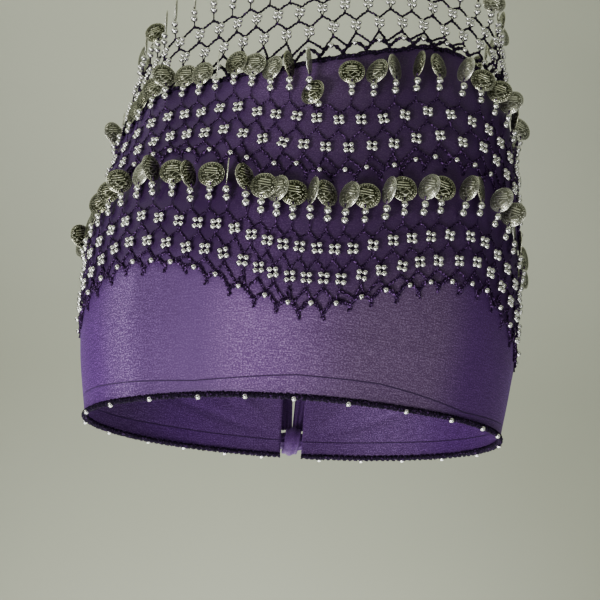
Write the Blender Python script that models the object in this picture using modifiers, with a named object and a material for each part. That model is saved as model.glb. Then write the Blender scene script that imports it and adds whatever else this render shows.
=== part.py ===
"""A belly dance hip scarf, worn: a sheer wrap with three rows of crocheted net and hanging coins.

Run it with: blender --background --python part.py

The units are metres and +Z is up. The scarf faces -Y, and its opening, closed by a knot, is at +Y.
The origin is the middle of the ring that the top edge makes, where the wearer's hips hold it.

A place on the cloth has two coordinates. "across" runs from 0 at one side of the opening, past
-X, the front and +X, to 1 at its other side. "drop" is the depth below the top edge, in metres.
"""

from bisect import bisect_right
from collections import namedtuple
from functools import lru_cache
from math import asin, cos, exp, pi, radians, sin

import bmesh
import bpy
from mathutils import Matrix, Vector

MM = 0.001

# The hollow form that the cloth takes on a general figure with one leg a little forward.
# skew carries the -X side forward and the +X side back, aside moves the section along X.
Section = namedtuple("Section", "drop half_width front back skew aside")
FORM = [
    Section(0.000, 0.156, 0.098, 0.102, 0.00, 0.000),
    Section(0.050, 0.166, 0.107, 0.114, 0.00, 0.000),
    Section(0.100, 0.170, 0.114, 0.122, 0.01, 0.000),
    Section(0.150, 0.170, 0.116, 0.124, 0.04, 0.000),
    Section(0.200, 0.167, 0.114, 0.121, 0.08, -0.002),
    Section(0.260, 0.160, 0.109, 0.116, 0.13, -0.003),
    Section(0.360, 0.148, 0.101, 0.108, 0.15, -0.005),
]
RING_STEPS = 240  # points used to measure the way round a section

# The opening at the back: half its width at the top edge, and its growth for each metre of drop.
HALF_OPENING = 9 * MM
OPENING_SPREAD = 0.014

# Soft upright folds of the slack cloth. Each starts at a drop and is deepest at the hem.
Fold = namedtuple("Fold", "across width start height")
FOLDS = [
    Fold(0.040, 0.022, 0.10, 2.6 * MM),
    Fold(0.105, 0.026, 0.14, -2.4 * MM),
    Fold(0.175, 0.022, 0.12, 2.8 * MM),
    Fold(0.255, 0.024, 0.16, -2.2 * MM),
    Fold(0.600, 0.024, 0.17, -2.6 * MM),
    Fold(0.655, 0.020, 0.14, 3.2 * MM),
    Fold(0.705, 0.021, 0.12, -3.0 * MM),
    Fold(0.765, 0.022, 0.13, 3.0 * MM),
    Fold(0.850, 0.025, 0.12, -2.4 * MM),
    Fold(0.925, 0.024, 0.10, 2.6 * MM),
]
DEEPEST_FOLD_DROP = 0.26

CLOTH_THICK = 1.2 * MM
CLOTH_COLUMNS = 72
CLOTH_RINGS = 6
GAP = 0.4 * MM  # what pieces keep between them where they meet

# The rows of net, each with its number of columns and coins. A row runs from the line of its
# points down to the line of its bead pairs. Each line rises and falls in waves round the scarf,
# highest at the front, the sides and the back, and hangs lower on the -X side by its tilt.
Row = namedtuple("Row", "columns points points_wave points_tilt beads beads_wave beads_tilt")
WAVES = 4
UPPER_ROW = Row(64, 0.0716, 16.4 * MM, 0.0 * MM, 0.1375, 11.8 * MM, -1.5 * MM)
MIDDLE_ROW = Row(54, 0.1628, 11.8 * MM, 0.0 * MM, 0.2350, 6.5 * MM, -2.5 * MM)
LOWEST_ROW = Row(48, 0.2600, 3.5 * MM, 15.0 * MM, 0.3310, 3.0 * MM, 8.0 * MM)

# A net is two tiers of diamonds. These are its lines of knots, as shares of the way from its
# points down to the middle of its bead pairs.
POINTS, SINGLE_BEADS, UPPER_BEADS, LOWER_BEADS, BEAD_PAIRS = 0.0, 0.125, 0.375, 0.673, 1.0
NET_LIFT = 1.0 * MM
NET_THICK = 1.2 * MM
NET_CORD = 2.2 * MM
HEM_OVERLAP = 3.0 * MM  # how far the lowest net's points reach up over the hem

# The last zigzag of cord is a strip, with a coin under each of its lower corners. The strip is
# measured along the drop, so it looks thinner where it slants.
STRIP_TALL = 4.5 * MM
STRIP_LOW = 8 * MM  # from the strip's lower corner down to the middle of the bead pair
NECK_LOW = 6 * MM
BEAD_WIDE = 4.6 * MM
PAIR_TO_COIN = 15 * MM
COIN_RADIUS = 9.3 * MM
COIN_CORNERS = (radians(60), radians(107), radians(155))  # from its top, on both sides
COIN_THICK = 1.2 * MM
COIN_LIFTS = (2.7 * MM, 5.2 * MM)  # neighbours lie one over the other

EDGING_RADIUS = 1.8 * MM
EDGING_SEGMENTS = 60

# The ties: they leave the cloth's upper corners, cross in a knot, and hang down in two tails.
KNOT_SIZE = Vector((30, 20, 25)) * MM
KNOT_DROP = 16 * MM
KNOT_OUT = 8.8 * MM
TIE_REACH = 46 * MM
TIE_TUCK = 0.65 * MM  # how far the ties and tails reach in, where the knot's roundness leaves room
TIE_START_TALL = 24 * MM
TIE_END_TALL = 11 * MM
TIE_THICK = 1.8 * MM
TAIL_LENGTH = 128 * MM
TAIL_TOP_WIDE = 13 * MM
TAIL_END_WIDE = 34 * MM
TAIL_SPREAD = 7 * MM  # space between the tails' inner edges at their ends
TAIL_SLANT = 14 * MM  # how much lower the tail's end is at its outer corner
TAIL_OUT = 9.0 * MM
TAIL_RIPPLE = 1.6 * MM
TAIL_THICK = 1.3 * MM


def section_at(drop):
    """The form's section at this drop, on a smooth curve through the table."""
    drop = min(max(drop, FORM[0].drop), FORM[-1].drop)
    i = min(bisect_right([s.drop for s in FORM], drop), len(FORM) - 1) - 1
    before, low, high, after = (FORM[min(max(j, 0), len(FORM) - 1)] for j in range(i - 1, i + 3))
    span = high.drop - low.drop
    t = (drop - low.drop) / span
    values = []
    for a, b, c, d in zip(before, low, high, after):
        start = span * (c - a) / (high.drop - before.drop)
        end = span * (d - b) / (after.drop - low.drop)
        value = b * (2 * t**3 - 3 * t**2 + 1) + c * (3 * t**2 - 2 * t**3)
        values.append(value + start * (t**3 - 2 * t**2 + t) + end * (t**3 - t**2))
    return Section(*values)


@lru_cache(maxsize=None)
def ring(drop):
    """Points round the form at this drop, from the back past -X, and the length up to each."""
    s = section_at(drop)
    points, lengths = [], [0.0]
    for step in range(RING_STEPS + 1):
        angle = 2 * pi * step / RING_STEPS
        x = -s.half_width * sin(angle)
        y = cos(angle) * (s.back if cos(angle) > 0 else s.front)
        points.append(Vector((x + s.aside, y + s.skew * x, -drop)))
        if step:
            lengths.append(lengths[-1] + (points[-1] - points[-2]).length)
    return points, lengths


def along_ring(length, drop):
    """The point of the form this far round from the middle of the back."""
    points, lengths = ring(round(drop, 6))
    i = min(max(bisect_right(lengths, length), 1), RING_STEPS)
    share = (length - lengths[i - 1]) / (lengths[i] - lengths[i - 1])
    return points[i - 1].lerp(points[i], share)


def bare_form(across, drop):
    """The point of the form under the cloth, before its folds."""
    girth = ring(round(drop, 6))[1][-1]
    edge = HALF_OPENING + OPENING_SPREAD * drop
    return along_ring(edge + (girth - 2 * edge) * across, drop)


def outward(across, drop):
    """The form's unit normal, pointing away from the wearer."""
    step = 0.004
    along = bare_form(across + step, drop) - bare_form(across - step, drop)
    down = bare_form(across, drop + step) - bare_form(across, max(drop - step, 0))
    return down.cross(along).normalized()


def fold_height(across, drop):
    """How far the folds lift the cloth off the form here."""
    height = 0.0
    for fold in FOLDS:
        depth = min(max((drop - fold.start) / (DEEPEST_FOLD_DROP - fold.start), 0), 1)
        height += fold.height * depth**1.5 * exp(-(((across - fold.across) / fold.width) ** 2))
    return height


def on_cloth(across, drop, out=0.0):
    """A point of the cloth's outer face, moved out by this much."""
    return bare_form(across, drop) + outward(across, drop) * (fold_height(across, drop) + out)


def net_line(row, share, across):
    """The drop of one of a net's lines: 0 is its points, and 1 the middle of its bead pairs."""
    rise = cos(2 * pi * WAVES * (across - 0.5))
    lean = sin(2 * pi * across)
    points = row.points - row.points_wave * rise + row.points_tilt * lean
    beads = row.beads - row.beads_wave * rise + row.beads_tilt * lean
    return points + (beads - points) * share


def material(name, colour, roughness, metallic=0.0):
    made = bpy.data.materials.new(name)
    made.use_nodes = True
    shader = made.node_tree.nodes["Principled BSDF"]
    shader.inputs["Base Color"].default_value = (*colour, 1.0)
    shader.inputs["Roughness"].default_value = roughness
    shader.inputs["Metallic"].default_value = metallic
    return made


def add_piece(name, data, finish, collection):
    """Puts a mesh, a bmesh or a curve in the scene as a named object with its material."""
    if isinstance(data, bmesh.types.BMesh):
        mesh = bpy.data.meshes.new(name)
        data.to_mesh(mesh)
        data.free()
        data = mesh
    piece = bpy.data.objects.new(name, data)
    data.materials.append(finish)
    collection.objects.link(piece)
    return piece


def add_sheet(name, bm, thickness, offset, finish, collection):
    """Gives an open sheet its wall: offset 1 grows it outwards and -1 inwards."""
    bmesh.ops.recalc_face_normals(bm, faces=bm.faces)
    facing = sum(f.normal.dot(f.calc_center_median() * Vector((1, 1, 0))) for f in bm.faces)
    if facing < 0:
        bmesh.ops.reverse_faces(bm, faces=bm.faces)
    wall = add_piece(name, bm, finish, collection).modifiers.new("wall", "SOLIDIFY")
    wall.thickness = thickness
    wall.offset = offset
    wall.use_even_offset = True


def bent_grid(columns, rings, place):
    """An open grid whose shares across and down, 0 to 1, are sent to a point by place."""
    bm = bmesh.new()
    bmesh.ops.create_grid(bm, x_segments=columns, y_segments=rings, size=0.5)
    for vert in bm.verts:
        vert.co = place(vert.co.x + 0.5, 0.5 - vert.co.y)
    return bm


def make_wrap(finish, collection):
    """The sheer cloth, from the top edge down to the hem."""

    def place(across, share):
        return on_cloth(across, share * net_line(LOWEST_ROW, POINTS, across))

    add_sheet("chiffon_wrap", bent_grid(CLOTH_COLUMNS, CLOTH_RINGS, place), CLOTH_THICK, -1, finish, collection)


def make_edging(finish, collection):
    """The crocheted roll along the top edge, a tube just above the cloth."""
    curve = bpy.data.curves.new("top_edging", "CURVE")
    curve.dimensions = "3D"
    curve.bevel_depth = EDGING_RADIUS
    curve.bevel_resolution = 0
    curve.use_fill_caps = True
    spline = curve.splines.new("POLY")
    spline.points.add(EDGING_SEGMENTS)
    for i, point in enumerate(spline.points):
        place = on_cloth(i / EDGING_SEGMENTS, 0.0, -CLOTH_THICK / 2)
        point.co = (place.x, place.y, GAP + EDGING_RADIUS, 1)
    add_piece("top_edging", curve, finish, collection)


def net_mesh(row, first, last, shift=0.0, overlap=0.0):
    """The open sheet of a net's diamonds, which share their corners, and the list of them."""
    bm = bmesh.new()
    corners = {}

    def corner(column, share):
        if (column, share) not in corners:
            across = column / row.columns + shift
            drop = net_line(row, share, across) - (overlap if share == POINTS else 0)
            corners[column, share] = bm.verts.new(on_cloth(across, drop, NET_LIFT))
        return corners[column, share]

    for k in range(first, last):
        sides = (corner(k, SINGLE_BEADS), corner(k + 1, SINGLE_BEADS))
        bm.faces.new((corner(k + 0.5, POINTS), sides[0], corner(k + 0.5, UPPER_BEADS), sides[1]))
    for k in range(first, last + 1):
        beside = [corner(c, UPPER_BEADS) for c in (k - 0.5, k + 0.5) if first < c < last]
        bm.faces.new((corner(k, SINGLE_BEADS), beside[0], corner(k, LOWER_BEADS), *beside[1:]))
    return bm


def make_laid_net(name, row, finish, collection):
    """A net sewn flat on the cloth, which backs its two tiers of diamonds."""
    add_sheet(name, net_mesh(row, 0, row.columns), NET_THICK, 1, finish, collection)


def make_hanging_net(name, first, last, shift, finish, collection):
    """Half of the net that hangs free from the hem, with its diamonds cut through."""
    bm = net_mesh(LOWEST_ROW, first, last, shift, HEM_OVERLAP)
    bmesh.ops.recalc_face_normals(bm, faces=bm.faces)
    diamonds = bm.faces[:]
    bmesh.ops.inset_individual(bm, faces=diamonds, thickness=NET_CORD / 2)
    bmesh.ops.delete(bm, geom=diamonds, context="FACES_ONLY")
    add_sheet(name, bm, NET_THICK, 1, finish, collection)


def make_coins(name, row, finish, collection):
    """A net's last zigzag of cord, with a pair of beads and a coin under each lower corner."""
    bm = bmesh.new()

    def spot(across, drop, lift, aside=0.0):
        girth = ring(round(drop, 6))[1][-1]
        return bm.verts.new(on_cloth(across + aside / girth, drop, lift))

    tops = []
    for k in range(row.columns + 1):
        across = k / row.columns
        drop = net_line(row, LOWER_BEADS, across) + GAP
        tops.append((spot(across, drop, NET_LIFT), spot(across, drop + STRIP_TALL, NET_LIFT)))
    for k in range(row.columns):
        across = (k + 0.5) / row.columns
        pair = net_line(row, BEAD_PAIRS, across)
        lift = COIN_LIFTS[k % 2]
        crotch = spot(across, pair - STRIP_LOW, NET_LIFT)
        neck = [spot(across, pair - NECK_LOW, NET_LIFT, side * BEAD_WIDE / 2) for side in (-1, 1)]
        coin = [[], []]
        for side, corners in zip((-1, 1), coin):
            for turn in (asin(BEAD_WIDE / 2 / COIN_RADIUS), *COIN_CORNERS):
                low = pair + PAIR_TO_COIN - COIN_RADIUS * cos(turn)
                corners.append(spot(across, low, lift, side * COIN_RADIUS * sin(turn)))
        bm.faces.new((*tops[k], neck[0], crotch))
        bm.faces.new((crotch, neck[1], *reversed(tops[k + 1])))
        bm.faces.new((crotch, *neck))
        bm.faces.new((neck[0], coin[0][0], coin[1][0], neck[1]))
        bm.faces.new((*coin[0], *reversed(coin[1])))
    add_sheet(name, bm, COIN_THICK, 1, finish, collection)


def behind(x, drop, out):
    """A point behind the scarf's back, this far from its middle."""
    girth = ring(round(drop, 6))[1][-1]
    edge = HALF_OPENING + OPENING_SPREAD * drop
    across = (abs(x) - edge) / (girth - 2 * edge)
    return on_cloth(across if x < 0 else 1 - across, drop, out)


def make_tie(name, side, finish, collection):
    """A tie, gathered from the cloth's upper corner to the side of the knot."""

    def place(share, down):
        x = TIE_REACH + (KNOT_SIZE.x / 2 + GAP - TIE_TUCK - TIE_REACH) * share
        tall = TIE_START_TALL + (TIE_END_TALL - TIE_START_TALL) * share
        rise = 3 * share**2 - 2 * share**3
        out = GAP + (KNOT_OUT - TIE_THICK / 2 - GAP) * rise
        return behind(side * x, KNOT_DROP + (down - 0.5) * tall, out)

    add_sheet(name, bent_grid(8, 3, place), TIE_THICK, 1, finish, collection)


def make_tail(name, side, finish, collection):
    """A tail of the ties, which hangs from the knot and widens to a slanting end."""
    top = KNOT_DROP + KNOT_SIZE.z / 2 + GAP - TIE_TUCK

    def place(share, down):
        wide = TAIL_TOP_WIDE + (TAIL_END_WIDE - TAIL_TOP_WIDE) * down
        x = GAP + TAIL_SPREAD / 2 * down + wide * share
        ripple = TAIL_RIPPLE * sin(2 * pi * 1.5 * share) * down
        drop = top + (TAIL_LENGTH + TAIL_SLANT * (share - 0.5)) * down
        return behind(side * x, drop, TAIL_OUT + TAIL_RIPPLE * down + ripple)

    add_sheet(name, bent_grid(6, 6, place), TAIL_THICK, 1, finish, collection)


def make_knot(finish, collection):
    bm = bmesh.new()
    bmesh.ops.create_uvsphere(bm, u_segments=12, v_segments=8, radius=0.5)
    place = Matrix.Translation(behind(0.0, KNOT_DROP, KNOT_OUT))
    bmesh.ops.transform(bm, matrix=place @ Matrix.Diagonal((*KNOT_SIZE, 1)), verts=bm.verts)
    add_piece("knot", bm, finish, collection)


def main():
    for old in list(bpy.data.objects):
        bpy.data.objects.remove(old)
    scarf = bpy.data.collections.new("hip_scarf")
    bpy.context.scene.collection.children.link(scarf)
    chiffon = material("chiffon", (0.13, 0.06, 0.24), 0.75)
    cord = material("crochet_cord", (0.03, 0.012, 0.05), 0.8)
    silver = material("stamped_coins", (0.42, 0.40, 0.33), 0.38, 1.0)

    make_wrap(chiffon, scarf)
    make_edging(cord, scarf)
    make_laid_net("net_1", UPPER_ROW, cord, scarf)
    make_laid_net("net_2", MIDDLE_ROW, cord, scarf)
    half = LOWEST_ROW.columns // 2
    seam = GAP / ring(LOWEST_ROW.beads)[1][-1]
    make_hanging_net("net_3_left", 0, half, -seam / 2, cord, scarf)
    make_hanging_net("net_3_right", half, LOWEST_ROW.columns, seam / 2, cord, scarf)
    for number, row in enumerate((UPPER_ROW, MIDDLE_ROW, LOWEST_ROW), 1):
        make_coins(f"coins_{number}", row, silver, scarf)
    for side, hand in ((-1, "left"), (1, "right")):
        make_tie(f"tie_{hand}", side, chiffon, scarf)
        make_tail(f"tail_{hand}", side, chiffon, scarf)
    make_knot(chiffon, scarf)


main()
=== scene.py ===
"""A belly dance hip scarf, worn: sheer purple chiffon with three rows of crocheted net, silver
beads and hanging coins. Metres, +Z up, the front towards -Y and the knotted opening at the back."""

from bisect import bisect_right
from collections import namedtuple
from math import atan2, cos, degrees, exp, pi, radians, sin, sqrt
from random import Random

import bmesh
import bpy
from mathutils import Matrix, Vector


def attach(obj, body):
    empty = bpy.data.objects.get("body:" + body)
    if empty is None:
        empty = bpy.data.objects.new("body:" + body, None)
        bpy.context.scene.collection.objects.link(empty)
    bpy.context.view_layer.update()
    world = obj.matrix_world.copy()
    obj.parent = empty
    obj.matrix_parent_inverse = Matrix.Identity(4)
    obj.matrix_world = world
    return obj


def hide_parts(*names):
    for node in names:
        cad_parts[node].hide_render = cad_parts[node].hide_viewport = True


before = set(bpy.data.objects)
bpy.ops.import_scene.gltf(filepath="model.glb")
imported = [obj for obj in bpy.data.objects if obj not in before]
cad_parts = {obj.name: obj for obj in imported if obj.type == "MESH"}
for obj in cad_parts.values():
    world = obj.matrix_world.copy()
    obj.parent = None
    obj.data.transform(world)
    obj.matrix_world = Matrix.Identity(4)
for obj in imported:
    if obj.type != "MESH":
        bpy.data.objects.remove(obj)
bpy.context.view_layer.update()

MM = 0.001

# ---------------- camera
# It stands in front of the scarf and a little above it, looks 20 degrees down, and is held
# upside down and slightly turned.
LOOK_DOWN, HELD_TURNED = radians(20), radians(3.5)
STANDS_AT = (0, -0.673, 0.14)
ahead = Vector((0, cos(LOOK_DOWN), -sin(LOOK_DOWN)))
above = Vector((0, sin(LOOK_DOWN), cos(LOOK_DOWN)))
aside = Vector((1, 0, 0))
picture_right = -aside * cos(HELD_TURNED) - above * sin(HELD_TURNED)
picture_up = aside * sin(HELD_TURNED) - above * cos(HELD_TURNED)


def placed(name, data):
    """A new object in the scene."""
    made = bpy.data.objects.new(name, data)
    bpy.context.scene.collection.objects.link(made)
    return made


camera = placed("camera", bpy.data.cameras.new("camera"))
camera.data.lens = 54
camera.matrix_world = (
    Matrix.Translation(STANDS_AT)
    @ Matrix((picture_right, picture_up, -ahead)).transposed().to_4x4()
)
bpy.context.scene.camera = camera


# ---------------- room
# A pale painted floor that curves up into the wall behind, well below and behind the scarf,
# lit by large soft lamps: the brightest stands high on the scarf's +X side.
FLOOR_LOW, WALL_BACK, SWEEP_RADIUS = 0.95, 1.25, 0.55
FLOOR_LONG, ROOM_LONG, ROOM_WIDE = 3.6, 6.2, 7


def feed(tree, socket, value):
    """Gives a socket its value, or links it to another node's output."""
    if isinstance(value, bpy.types.NodeSocket):
        tree.links.new(value, socket)
    else:
        socket.default_value = value


def add_node(tree, kind, inputs=(), **settings):
    made = tree.nodes.new("ShaderNode" + kind)
    for name, value in settings.items():
        setattr(made, name, value)
    for name, value in dict(inputs).items():
        feed(tree, made.inputs[name], value)
    return made


def noise_of(vector, scale, detail=2.0, roughness=0.5):
    inputs = {"Vector": vector, "Scale": scale, "Detail": detail, "Roughness": roughness}
    return add_node(vector.id_data, "TexNoise", inputs).outputs[0]


def blended(share, low, high):
    """A colour between two others."""
    return add_node(share.id_data, "Mix", {0: share, 6: low, 7: high}, data_type="RGBA").outputs[2]


def new_material(name):
    """An empty material, as (material, node tree, its Principled BSDF)."""
    made = bpy.data.materials.new(name)
    made.use_nodes = True
    return made, made.node_tree, made.node_tree.nodes["Principled BSDF"]


def set_sockets(shader, **values):
    for name, value in values.items():
        feed(shader.id_data, shader.inputs[name.replace("_", " ")], value)


def clamped(value, low=0.0, high=1.0):
    return min(max(value, low), high)


def mesh_of(bm, name):
    """The mesh of a finished bmesh."""
    mesh = bpy.data.meshes.new(name)
    bm.to_mesh(mesh)
    bm.free()
    return mesh


def object_place(tree):
    return add_node(tree, "TexCoord").outputs["Object"]


wall_paint, tree, shader = new_material("wall_paint")
spots = noise_of(object_place(tree), 2.5)
set_sockets(
    shader,
    Base_Color=blended(spots, (0.375, 0.392, 0.305, 1), (0.41, 0.427, 0.335, 1)),
    Roughness=0.7,
)
bm = bmesh.new()
bmesh.ops.create_grid(bm, x_segments=2, y_segments=40, size=0.5)
bend = SWEEP_RADIUS * pi / 2
for vert in bm.verts:
    way = (vert.co.y + 0.5) * ROOM_LONG
    turn = clamped((way - FLOOR_LONG) / bend) * pi / 2
    y = WALL_BACK - SWEEP_RADIUS - FLOOR_LONG + min(way, FLOOR_LONG) + SWEEP_RADIUS * sin(turn)
    z = SWEEP_RADIUS * (1 - cos(turn)) + max(way - FLOOR_LONG - bend, 0)
    vert.co = (vert.co.x * ROOM_WIDE, y, z - FLOOR_LOW)
for face in bm.faces:
    face.smooth = True
room_mesh = mesh_of(bm, "floor_and_wall")
room_mesh.materials.append(wall_paint)
placed("floor_and_wall", room_mesh)

# Each lamp: its name, place, aim, size, power and colour.
LAMPS = [
    ("high_side_lamp", (0.85, -1.15, 0.95), (0.0, -0.05, -0.10), 0.55, 24, (1.0, 1.0, 0.96)),
    ("overhead_lamp", (0.25, -0.45, 1.30), (0.0, 0.0, -0.08), 0.8, 13, (1.0, 1.0, 0.98)),
    ("fill_lamp", (-1.1, -1.2, 0.45), (0.0, 0.0, -0.18), 0.9, 5.5, (1.0, 1.0, 0.96)),
    ("low_side_lamp", (1.15, -0.30, -0.55), (0.0, -0.05, -0.15), 0.6, 4, (1.0, 1.0, 0.97)),
    ("back_lamp", (0.4, 1.0, 0.9), (0.0, 0.1, -0.15), 0.7, 9, (1.0, 1.0, 1.0)),
    ("wall_lamp", (0.0, 0.35, 1.7), (0.0, 1.25, -0.3), 1.2, 10, (0.98, 1.0, 0.96)),
    ("floor_lamp", (0.0, 0.5, 0.3), (0.0, 0.9, -0.95), 1.0, 6, (0.98, 1.0, 0.96)),
]
for name, place, aim, size, power, colour in LAMPS:
    light = bpy.data.lights.new(name, "AREA")
    light.size, light.energy, light.color = size, power, colour
    lamp = placed(name, light)
    lamp.location = place
    toward = Vector(aim) - Vector(place)
    lamp.rotation_euler = toward.to_track_quat("-Z", "Y").to_euler()
world = bpy.data.worlds.new("room_light")
world.use_nodes = True
world.node_tree.nodes["Background"].inputs["Color"].default_value = (0.80, 0.83, 0.80, 1)
world.node_tree.nodes["Background"].inputs["Strength"].default_value = 0.14
bpy.context.scene.world = world


# ---------------- chiffon wrap
# One length of sheer crepe chiffon, cut about 0.92 m long and 0.27 m deep, pulled round the hips
# and held at the back. Its top edge is turned over once and stitched down 6 to 16 mm lower.
CLOTH_THICK = 0.5 * MM
CLOTH_LONG = 0.88  # round the middle of the cloth, for distances along it
WRAP_GRID, WRAP_COVER = (300, 96), 0.93
Section = namedtuple("Section", "drop half_width front back skew aside")
FORM = [
    Section(0.000, 0.156, 0.098, 0.102, 0.00, 0.000),
    Section(0.050, 0.166, 0.107, 0.114, 0.00, 0.000),
    Section(0.100, 0.170, 0.114, 0.122, 0.01, 0.000),
    Section(0.150, 0.170, 0.116, 0.124, 0.04, 0.000),
    Section(0.200, 0.167, 0.114, 0.121, 0.08, -0.002),
    Section(0.260, 0.160, 0.109, 0.116, 0.13, -0.003),
    Section(0.360, 0.148, 0.101, 0.108, 0.15, -0.005),
]
HALF_OPENING = 9 * MM
OPENING_SPREAD = 0.014
RING_STEPS = 240
LEVEL = 2 * MM  # the form is measured once for each of these steps of drop
LEVELS = 190

# Soft upright folds of the slack cloth, deepest at the hem: (across, width across, the drop where
# it starts, height in millimetres).
FOLDS = [
    (0.040, 0.022, 0.10, 2.6), (0.105, 0.026, 0.14, -2.4), (0.175, 0.022, 0.12, 2.8),
    (0.255, 0.024, 0.16, -2.2), (0.600, 0.024, 0.17, -2.6), (0.655, 0.020, 0.14, 3.2),
    (0.705, 0.021, 0.12, -3.0), (0.765, 0.022, 0.13, 3.0), (0.850, 0.025, 0.12, -2.4),
    (0.925, 0.024, 0.10, 2.6),
]
DEEPEST_FOLD_DROP = 0.26

# Pull creases, placed one by one: (where it starts and ends across, its drops there, its width
# and height in millimetres).
CREASES = [
    (0.015, 0.150, 0.018, 0.050, 4.0, 0.9), (0.015, 0.120, 0.028, 0.085, 5.0, -1.0),
    (0.020, 0.085, 0.036, 0.120, 5.0, 0.8), (0.985, 0.860, 0.018, 0.046, 4.0, 0.9),
    (0.985, 0.890, 0.030, 0.090, 5.5, -1.1), (0.978, 0.930, 0.038, 0.125, 5.0, 0.8),
    (0.170, 0.330, 0.062, 0.044, 6.0, 0.5), (0.205, 0.330, 0.086, 0.070, 5.0, -0.5),
    (0.350, 0.520, 0.036, 0.042, 5.0, 0.35), (0.420, 0.560, 0.060, 0.054, 4.0, 0.3),
    (0.590, 0.740, 0.052, 0.064, 6.0, 0.5), (0.640, 0.800, 0.078, 0.060, 5.0, -0.5),
    (0.330, 0.470, 0.190, 0.214, 6.0, 0.7), (0.360, 0.430, 0.150, 0.172, 5.0, -0.5),
    (0.520, 0.610, 0.208, 0.160, 6.0, 0.7), (0.560, 0.660, 0.232, 0.196, 6.0, -0.7),
    (0.120, 0.230, 0.205, 0.180, 7.0, 0.9), (0.060, 0.150, 0.170, 0.150, 6.0, -0.8),
    (0.830, 0.930, 0.190, 0.160, 7.0, 0.9), (0.770, 0.870, 0.230, 0.215, 6.0, -0.8),
    (0.270, 0.300, 0.110, 0.215, 7.0, 0.8), (0.725, 0.700, 0.115, 0.200, 7.0, 0.8),
]

# How far the hem rides up or sags from its even line: (across, millimetres down).
HEM_SAGS = [
    (0.290, 0.0), (0.335, -7), (0.353, -3), (0.370, 3), (0.391, 4), (0.410, 4), (0.430, 1),
    (0.480, -1.5), (0.508, -3), (0.528, -7), (0.590, -8), (0.625, -3), (0.655, -6), (0.690, -3),
    (0.740, 0.0),
]
# How far the top edge sags at the front, and where its stitched line runs, in the same way.
RIM_SAGS = [
    (0.20, 0.0), (0.30, 1.2), (0.41, 2.0), (0.45, 2.6), (0.50, 3.0), (0.57, 2.8), (0.63, 1.6),
    (0.70, 0.8), (0.80, 0.5), (0.86, 0.0),
]
STITCHED_LINE = [
    (0.00, 12), (0.10, 13), (0.22, 11), (0.30, 7.5), (0.345, 6), (0.40, 12), (0.43, 15),
    (0.50, 16), (0.56, 12), (0.585, 10.5), (0.64, 12), (0.69, 13), (0.78, 12), (0.88, 13.5),
    (1.00, 12.5),
]
HEM_DROP, HEM_WAVE, HEM_TILT = 0.260, 3.5 * MM, 15.0 * MM
# The first net is worked over the cloth from this line down, and the cloth is painted with shade
# under it.
WORKED_FROM, WORKED_WAVE = 71.6 * MM, 16.4 * MM


def section_at(drop):
    """The form's section at this drop, on a smooth curve through the table."""
    drop = clamped(drop, FORM[0].drop, FORM[-1].drop)
    i = min(bisect_right([s.drop for s in FORM], drop), len(FORM) - 1) - 1
    before, low, high, after = (FORM[clamped(j, 0, len(FORM) - 1)] for j in range(i - 1, i + 3))
    span = high.drop - low.drop
    t = (drop - low.drop) / span
    values = []
    for a, b, c, d in zip(before, low, high, after):
        start = span * (c - a) / (high.drop - before.drop)
        end = span * (d - b) / (after.drop - low.drop)
        value = b * (2 * t**3 - 3 * t**2 + 1) + c * (3 * t**2 - 2 * t**3)
        values.append(value + start * (t**3 - 2 * t**2 + t) + end * (t**3 - t**2))
    return Section(*values)


def even_ring(drop):
    """(points, girth): a ring of the form, its points at even steps from the back past -X."""
    s = section_at(drop)
    points, lengths = [], [0.0]
    for step in range(RING_STEPS + 1):
        angle = 2 * pi * step / RING_STEPS
        x = -s.half_width * sin(angle)
        y = cos(angle) * (s.back if cos(angle) > 0 else s.front)
        points.append(Vector((x + s.aside, y + s.skew * x, -drop)))
        if step:
            lengths.append(lengths[-1] + (points[-1] - points[-2]).length)
    even = []
    for step in range(RING_STEPS + 1):
        length = lengths[-1] * step / RING_STEPS
        i = clamped(bisect_right(lengths, length), 1, RING_STEPS)
        share = (length - lengths[i - 1]) / (lengths[i] - lengths[i - 1])
        even.append(points[i - 1].lerp(points[i], share))
    return even, lengths[-1]


rings = [even_ring(i * LEVEL) for i in range(LEVELS + 1)]


def bare_form(across, drop):
    """The point of the form under the cloth, before its folds."""
    level = clamped(drop / LEVEL, 0.0, LEVELS - 0.001)
    found = []
    for i in (int(level), int(level) + 1):
        points, girth = rings[i]
        edge = HALF_OPENING + OPENING_SPREAD * i * LEVEL
        step = (edge + (girth - 2 * edge) * across) / girth % 1 * RING_STEPS
        found.append(points[int(step)].lerp(points[(int(step) + 1) % (RING_STEPS + 1)], step % 1))
    return found[0].lerp(found[1], level % 1)


def outward(across, drop):
    """The form's unit normal, pointing away from the wearer."""
    step = 0.004
    along = bare_form(across + step, drop) - bare_form(across - step, drop)
    down = bare_form(across, drop + step) - bare_form(across, max(drop - step, 0))
    return down.cross(along).normalized()


def fold_height(across, drop):
    height = 0.0
    for middle, width, start, rise in FOLDS:
        depth = clamped((drop - start) / (DEEPEST_FOLD_DROP - start))
        height += rise * MM * depth**1.5 * exp(-(((across - middle) / width) ** 2))
    return height


def crease_height(across, drop):
    here = Vector((across * CLOTH_LONG, drop))
    height = 0.0
    for start, end, start_drop, end_drop, width, rise in CREASES:
        first = Vector((start * CLOTH_LONG, start_drop))
        way = Vector((end * CLOTH_LONG, end_drop)) - first
        share = (here - first).dot(way) / way.length_squared
        if -0.2 < share < 1.2:
            apart = (here - first - way * share).length / (width * MM)
            fade = exp(-((abs(share - 0.5) / 0.42) ** 4))
            height += rise * MM * fade * exp(-(apart**2))
    return height


def on_cloth(across, drop, out=0.0):
    """A point of the cloth's outer face, moved out by this much."""
    lift = fold_height(across, drop) + crease_height(across, drop) + out
    return bare_form(across, drop) + outward(across, drop) * lift


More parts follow.
